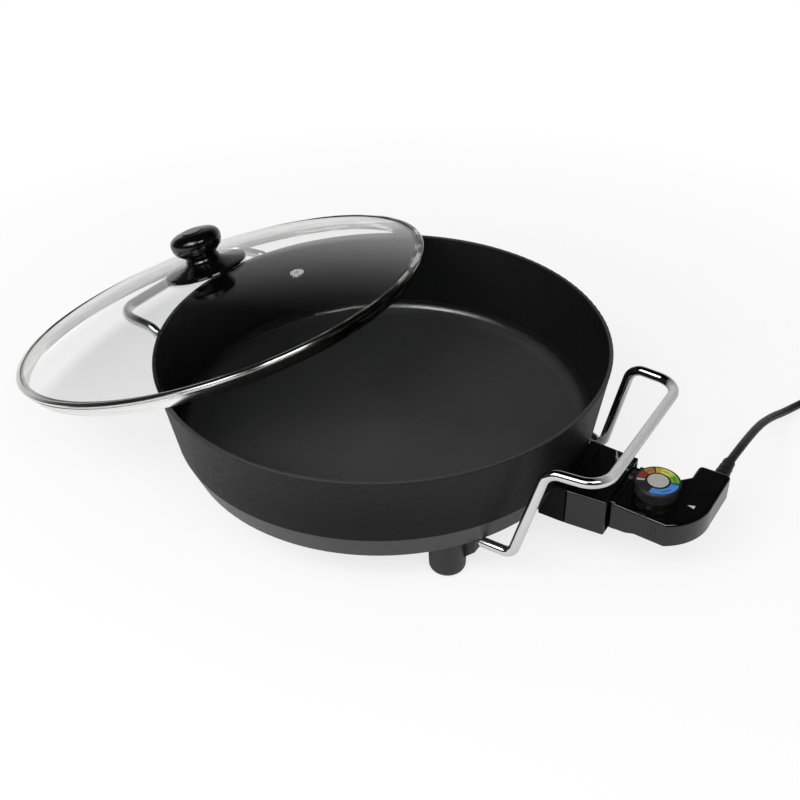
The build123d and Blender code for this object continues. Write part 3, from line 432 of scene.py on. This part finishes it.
POINTER_TIP = (0.2870, -0.0010)
POINTER_LENGTH = 0.0060
POINTER_HALF_WIDTH = 0.0021
POINTER_ABOVE = 0.0165                  # only the housing's top face is that high
POINTER_TONE = (0.52, 0.52, 0.52)


def gloss_black(name="gloss_moulding", pointer=False, gloss=0.5):
    """Polished phenolic moulding; the control's has a small printed pointer beside its dial."""
    s = Shader(name)
    s.set(Specular_IOR_Level=gloss)
    black = s.mottle((0.0015, 0.0015, 0.0017), (0.0030, 0.0030, 0.0032), 40, 2.0)
    if pointer:
        x, y, z = s.axes()
        along = s.math("SUBTRACT", x, POINTER_TIP[0])
        aside = s.math("ABSOLUTE", s.math("SUBTRACT", y, POINTER_TIP[1]))
        between_sides = s.math("LESS_THAN", aside, s.times(along, POINTER_HALF_WIDTH / POINTER_LENGTH))
        before_end = s.math("LESS_THAN", along, POINTER_LENGTH)
        on_top = s.math("GREATER_THAN", z, POINTER_ABOVE)
        black = s.mix(s.times(between_sides, before_end, on_top), black, POINTER_TONE)
    s.feed(black, "Base Color")
    s.feed(s.uneven(0.05, 0.10, 150, 4.0, start=0.35), "Roughness")
    s.feed(s.bump(s.noise(220, 2.0), 0.0003, 0.05), "Normal")
    return s.material


def bracket_paint():
    """Dead black heat-proof paint."""
    s = Shader("bracket_paint")
    s.set(Specular_IOR_Level=0.12)
    s.feed(s.mottle((0.0015,) * 3, (0.0035,) * 3, 90, 3.0), "Base Color")
    s.feed(s.uneven(0.45, 0.60, 400, 3.0), "Roughness")
    s.feed(s.bump(s.noise(1200, 2.0), 0.0001, 0.3), "Normal")
    return s.material


def matte_black(name="matte_moulding", low=0.006, high=0.010):
    """Moulding with a fine spark-eroded texture."""
    s = Shader(name)
    s.feed(s.mottle((low,) * 3, (high,) * 3, 50, 2.0), "Base Color")
    s.feed(s.uneven(0.34, 0.48, 300, 3.0), "Roughness")
    s.feed(s.bump(s.noise(1800, 2.0), 0.00015, 0.4), "Normal")
    return s.material


def rubber():
    s = Shader("cord_sheath")
    s.feed(s.mottle((0.007,) * 3, (0.012,) * 3, 70, 2.0), "Base Color")
    s.feed(s.uneven(0.42, 0.56, 260, 3.0), "Roughness")
    s.feed(s.bump(s.noise(900, 2.0), 0.0001, 0.3), "Normal")
    return s.material


# dark of the printed gaps, also used for the painted shade round the dial's centre disc
DARK_PRINT_AND_SHADE = (0.012, 0.012, 0.013)
SCALE_START = -95.0             # degrees, where the blue step starts
SCALE_STEPS = (                 # start of each printed step, in degrees anticlockwise from there
    (0, (0.054, 0.231, 0.644)), (102, (0.02, 0.09, 0.09)), (115, (0.141, 0.376, 0.038)), (146.5, DARK_PRINT_AND_SHADE),
    (148, (0.456, 0.546, 0.061)), (162, (0.679, 0.658, 0.114)), (193, (0.485, 0.376, 0.032)), (213, DARK_PRINT_AND_SHADE),
    (218, (0.429, 0.188, 0.061)), (250, DARK_PRINT_AND_SHADE), (253, (0.205, 0.032, 0.014)), (288, DARK_PRINT_AND_SHADE),
    (290, (0.456, 0.376, 0.376)), (300, DARK_PRINT_AND_SHADE))
SCALE_INNER, SCALE_OUTER = 0.0102, 0.0167       # radii between which the steps are printed
SCALE_MARKS = ((0, 0), (34, 1), (72, 0), (119, 1), (143, 0), (167, 1), (191, 0), (222, 1), (247, 0))
MARK_PITCH, MARK_SHARE = 5.2, 0.62              # degrees, and how much of them is dark
MARK_RADIUS, MARK_HALF_LENGTH = 0.0135, 0.0010
MARK_DARKNESS = 0.75


def dial_scale():
    """Coloured steps round the dial, by angle about its axis, with a row of small ticks on some of them, and painted
    shade at the inner edge next to the centre disc.
    """
    s = Shader("dial_print")
    x, y, _ = s.axes()
    angle = s.math("ARCTAN2", s.math("SUBTRACT", y, DIAL_CENTRE.y), s.math("SUBTRACT", x, DIAL_CENTRE.x))
    turns = s.math("FRACT", s.math("ADD", s.times(angle, 0.5 / math.pi), 1.0 - SCALE_START / 360))
    colour = s.ramp(turns, [(start / 360, step) for start, step in SCALE_STEPS], "CONSTANT")
    radius = s.radius(DIAL_CENTRE.x, DIAL_CENTRE.y)
    marked = s.ramp(turns, [(start / 360, (on, on, on)) for start, on in SCALE_MARKS], "CONSTANT")
    tick = s.math("LESS_THAN", s.math("FRACT", s.times(turns, 360 / MARK_PITCH)), MARK_SHARE)
    row = s.math("LESS_THAN", s.math("ABSOLUTE", s.math("SUBTRACT", radius, MARK_RADIUS)), MARK_HALF_LENGTH)
    marks = s.times(marked, tick, row, MARK_DARKNESS)
    # painted shade: dark inside SCALE_INNER round the centre disc; the scale is also dark beyond SCALE_OUTER
    edge = s.math("MAXIMUM", s.math("LESS_THAN", radius, SCALE_INNER), s.math("GREATER_THAN", radius, SCALE_OUTER))
    print_and_edge_shade = s.mix(s.math("MAXIMUM", marks, edge), colour, DARK_PRINT_AND_SHADE)
    grain = s.times(s.uneven(0.0, 1.0, 600, 2.0), 0.12)
    s.feed(s.mix(grain, print_and_edge_shade, (0.02, 0.02, 0.02)), "Base Color")
    s.feed(s.uneven(0.28, 0.4, 300, 2.0), "Roughness")
    return s.material


DISC_SHADE_RADIUS = 0.0085
DISC_RING_PITCH = 0.0006


def disc_metal():
    """Satin disc in the dial's middle, turned with fine rings, with a ring of painted shade round its edge."""
    s = Shader("dial_disc")
    s.set(Metallic=0.35)
    radius = s.radius(DIAL_CENTRE.x, DIAL_CENTRE.y)
    face = s.mottle((0.52, 0.52, 0.48), (0.64, 0.64, 0.60), 500, 2.0)
    # painted shade: the disc is dark beyond this radius, where it meets the scale ring
    s.feed(s.mix(s.math("GREATER_THAN", radius, DISC_SHADE_RADIUS), face, DARK_PRINT_AND_SHADE), "Base Color")
    s.feed(s.uneven(0.28, 0.42, 700, 3.0), "Roughness")
    rings = s.math("SINE", s.times(radius, 2 * math.pi / DISC_RING_PITCH))
    s.feed(s.bump(rings, 0.00003, 0.3), "Normal")
    return s.material


# ---------------------------------------------------------------- dressing the solids

SMOOTH_ANGLE = math.radians(48.0)


def assign(material, *names):
    for name in names:
        mesh = nodes[name].data
        mesh.materials.clear()
        mesh.materials.append(material)


def smooth(mesh):
    """Soft shading with sharp edges kept, by edge attribute alone."""
    mesh.shade_smooth()
    mesh.set_sharp_from_angle(angle=SMOOTH_ANGLE)


def dress_nodes():
    assign(coating(), "pan_bowl")
    assign(chrome("grip_plate", satin_grip=True), "handle_right")
    assign(chrome(), "handle_left", "plug_pins")
    assign(band_steel(), "lid_band")
    assign(eyelet(), "lid_vent")
    assign(stainless("plain_steel", 0.2), "bracket_screws", "foot_screws", "lid_knob_screw", "lid_knob_washer",
           "control_screws", "temperature_probe", "dial_spindle")
    assign(brass(), "terminal_pins", "contact_sleeves", "earth_contact")
    assign(sheath(), "heating_element")
    assign(gloss_black(), "socket_guard", "control_bottom_cover")
    assign(gloss_black("knob_moulding", gloss=0.60), "lid_knob", "lid_knob_base")
    assign(bracket_paint(), "guard_bracket")
    assign(gloss_black("control_moulding", pointer=True), "control_upper_housing")
    assign(matte_black(), "terminal_plate", "foot_right_front", "foot_right_back", "foot_left_front",
           "foot_left_back", "contact_carrier", "thermostat_switch", "cord_clamp")
    assign(matte_black("dial_moulding", 0.012, 0.018), "dial_knob")
    assign(rubber(), "strain_relief", "cord_entry", "power_cord", "cord_coil", "cord_tie", "power_cord_tail",
           "plug_body")
    assign(glass(), "lid_glass")
    assign(dial_scale(), "dial_scale_ring")
    assign(disc_metal(), "dial_centre_cap")
    for node in nodes.values():
        smooth(node.data)


# ---------------------------------------------------------------- studio

AMBIENT = 0.37                  # even light for diffuse rays
SKY_STEPS = (                   # degrees above the horizon, and how bright the backdrop is there in reflections
    (-10, 0.62), (0, 0.60), (11, 0.57), (18, 0.51), (24, 0.38), (30, 0.26), (36, 0.15), (44, 0.01))
# Heights are sines of the elevation, reaches cosines of the angle to a side.
BRIGHT_SIDE = math.radians(105)         # direction of the backdrop's brightest part
BRIGHT_REACH = (0.69, 0.966)            # where that part has faded, and where it is full
DIM_SHARE = 0.06                        # what is left of it on the other sides
HORIZON_SIDE = math.radians(145)        # a second bright part, low down
HORIZON_REACH = (0.72, 0.93)
HORIZON_HEIGHTS = (0.21, 0.10)
HORIZON_GLOW = 0.70
WHITE_HEIGHTS = (-0.070, -0.018)        # through glass the backdrop is white below these
TABLE_RADIUS = 1.5
TABLE_DROP = 0.0003                     # under the feet
TABLE_TONE = (0.92, 0.92, 0.92, 1.0)
FLOOR_GLOW, FLOOR_FADE = 0.78, (0.42, 0.85)     # share of plain white near the object, and where it becomes whole
MIRRORED_GLOW, MIRRORED_FADE = 0.10, (0.35, 0.9 * TABLE_RADIUS)     # the same, in what the object mirrors
LAMPS = (                       # name, place, width and height, and watts; they face the pan's middle
    ("key_box", (-0.100, -1.147, 1.251), (1.7, 1.2), 12.0),
    ("key_core", (-0.098, -1.124, 1.226), (0.80, 0.50), 8.6),       # the key's brighter middle
    ("side_box", (0.946, -0.546, 1.302), (0.6, 0.6), 5.2))


def make_world():
    """Even light for diffuse rays. In reflections, a backdrop that dims upwards and towards the camera's side. White
    to the camera, and low down through glass."""
    world = bpy.data.worlds.new("studio")
    scene.world = world
    world.use_nodes = True
    g = Graph(world.node_tree)
    direction = g.node("ShaderNodeTexCoord").outputs["Generated"]
    path = g.node("ShaderNodeLightPath").outputs
    split = g.node("ShaderNodeSeparateXYZ")
    g.link(direction, split.inputs["Vector"])
    height = split.outputs["Z"]

    def towards(side):
        made = g.node("ShaderNodeVectorMath", operation="DOT_PRODUCT")
        made.inputs[1].default_value = (math.cos(side), math.sin(side), 0.0)
        g.link(direction, made.inputs[0])
        return made.outputs["Value"]

    lowest = math.sin(math.radians(SKY_STEPS[0][0]))
    sky = g.ramp(g.span(height, lowest, 1.0), [
        ((math.sin(math.radians(degrees)) - lowest) / (1.0 - lowest), (level,) * 3) for degrees, level in SKY_STEPS])
    backdrop = g.node("ShaderNodeVectorMath", operation="SCALE")
    g.link(sky, backdrop.inputs[0])
    g.link(g.span(towards(BRIGHT_SIDE), *BRIGHT_REACH, DIM_SHARE, 1.0), backdrop.inputs["Scale"])
    horizon = g.times(g.span(height, *HORIZON_HEIGHTS, 0.0, HORIZON_GLOW),
                      g.span(towards(HORIZON_SIDE), *HORIZON_REACH))
    mirrored = g.node("ShaderNodeVectorMath", operation="MAXIMUM")
    g.link(backdrop.outputs["Vector"], mirrored.inputs[0])
    g.link(horizon, mirrored.inputs[1])

    unseen = g.mix(path["Is Diffuse Ray"], mirrored.outputs["Vector"], (AMBIENT,) * 3)
    through = g.times(path["Is Transmission Ray"], g.span(height, *WHITE_HEIGHTS, 1.0, 0.0))
    seen = g.math("MAXIMUM", path["Is Camera Ray"], through)
    g.link(g.mix(seen, unseen, (1.0, 1.0, 1.0)), g.tree.nodes["Background"].inputs["Color"])


def make_floor():
    """White table that keeps a light shadow and fades into the backdrop; darker in what the object mirrors."""
    mesh = bpy.data.meshes.new("floor")
    shape = bmesh.new()
    bmesh.ops.create_circle(shape, cap_ends=True, segments=128, radius=TABLE_RADIUS)
    bmesh.ops.translate(shape, verts=shape.verts, vec=(0, 0, TABLE_Z - TABLE_DROP))
    shape.to_mesh(mesh)
    shape.free()
    floor = bpy.data.objects.new("floor", mesh)
    scene.collection.objects.link(floor)

    material = bpy.data.materials.new("floor_white")
    material.use_nodes = True
    material.node_tree.nodes.clear()
    g = Graph(material.node_tree)
    diffuse = g.node("ShaderNodeBsdfDiffuse")
    diffuse.inputs["Color"].default_value = TABLE_TONE
    glow = g.node("ShaderNodeEmission")
    glow.inputs["Strength"].default_value = 1.0
    distance = g.node("ShaderNodeVectorMath", operation="LENGTH")
    g.link(g.node("ShaderNodeTexCoord").outputs["Object"], distance.inputs[0])
    path = g.node("ShaderNodeLightPath").outputs
    seen = g.math("MAXIMUM", path["Is Camera Ray"], path["Is Transmission Ray"])
    shares = [g.times(rays, g.span(distance.outputs["Value"], *fade, least, 1.0)) for rays, fade, least in (
        (seen, FLOOR_FADE, FLOOR_GLOW), (path["Is Glossy Ray"], MIRRORED_FADE, MIRRORED_GLOW))]
    mixed = g.node("ShaderNodeMixShader")
    g.link(g.math("MAXIMUM", *shares), mixed.inputs["Fac"])
    g.link(diffuse.outputs[0], mixed.inputs[1])
    g.link(glow.outputs[0], mixed.inputs[2])
    g.link(mixed.outputs[0], g.node("ShaderNodeOutputMaterial").inputs["Surface"])
    mesh.materials.append(material)


def make_lamp(name, place, size, power):
    data = bpy.data.lights.new(name, "AREA")
    data.shape = "RECTANGLE"
    data.size, data.size_y = size
    data.energy = power
    lamp = bpy.data.objects.new(name, data)
    scene.collection.objects.link(lamp)
    lamp.location = place
    lamp.rotation_euler = (-Vector(place)).to_track_quat("-Z", "Y").to_euler()
    lamp.visible_camera = False


def make_studio():
    make_world()
    make_floor()
    for lamp in LAMPS:
        make_lamp(*lamp)
    scene.view_settings.view_transform = "Standard"


make_camera()
make_cord()
dress_nodes()
make_studio()
